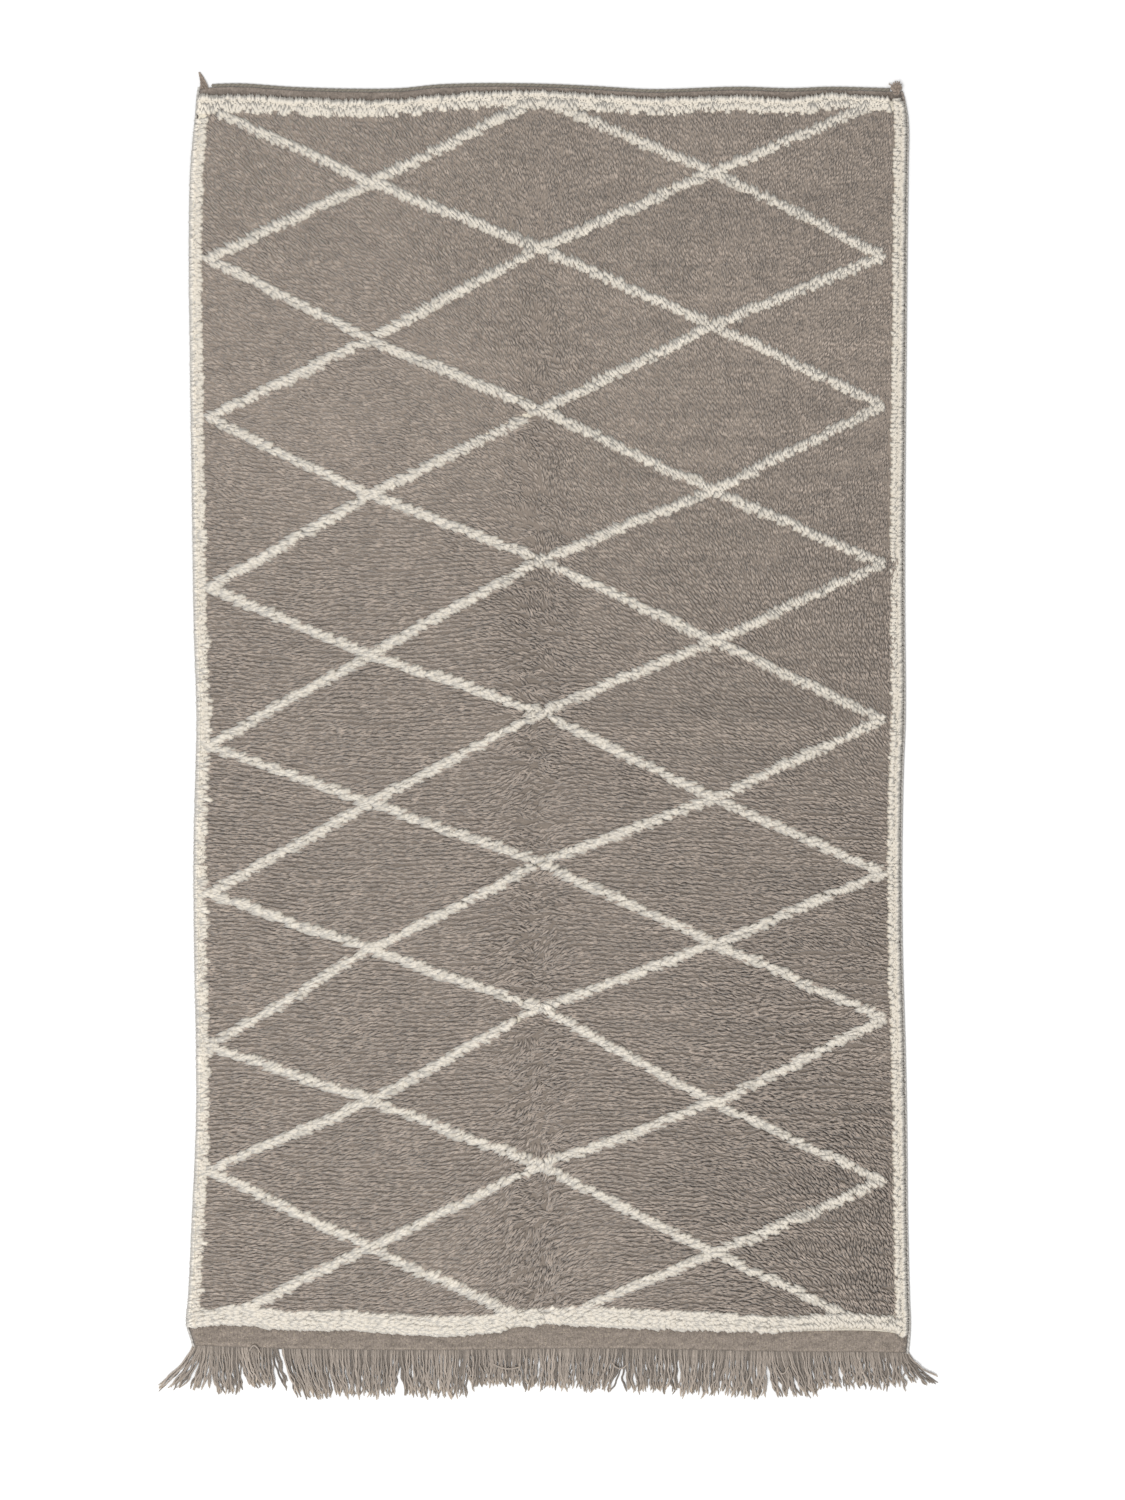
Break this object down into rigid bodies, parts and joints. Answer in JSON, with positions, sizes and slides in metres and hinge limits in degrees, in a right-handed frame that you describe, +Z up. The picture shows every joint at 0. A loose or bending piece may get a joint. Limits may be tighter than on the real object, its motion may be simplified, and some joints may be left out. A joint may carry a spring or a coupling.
{
  "type": "hand-knotted wool pile rug",
  "caption": "Taupe hand-knotted wool pile rug with an ivory diamond lattice and border, flat-woven ends, overcast sides and a fringe along one end, lying flat and face up.",
  "frame": {"origin": "middle of the footprint of the whole rug with its fringe, on the surface it lies on", "axes": "+X across the width, +Y along the length from the fringe to the heading end, +Z up out of the pile"},
  "size_m": [1.6249, 2.7913, 0.0173],
  "materials": {
    "pile_wool": "knotted wool pile, taupe with an ivory lattice",
    "fringe_wool": "two-ply wool warp ends",
    "selvedge_wool": "overcast wool cord",
    "heading_wool": "twined wool cord"
  },
  "bodies": {
    "root": {"rug": "pile_wool", "fringe": "fringe_wool", "selvedge_left": "selvedge_wool", "selvedge_right": "selvedge_wool", "heading_cord": "heading_wool", "corner_tassel": "heading_wool", "corner_knot": "heading_wool"}
  },
  "joints": []
}
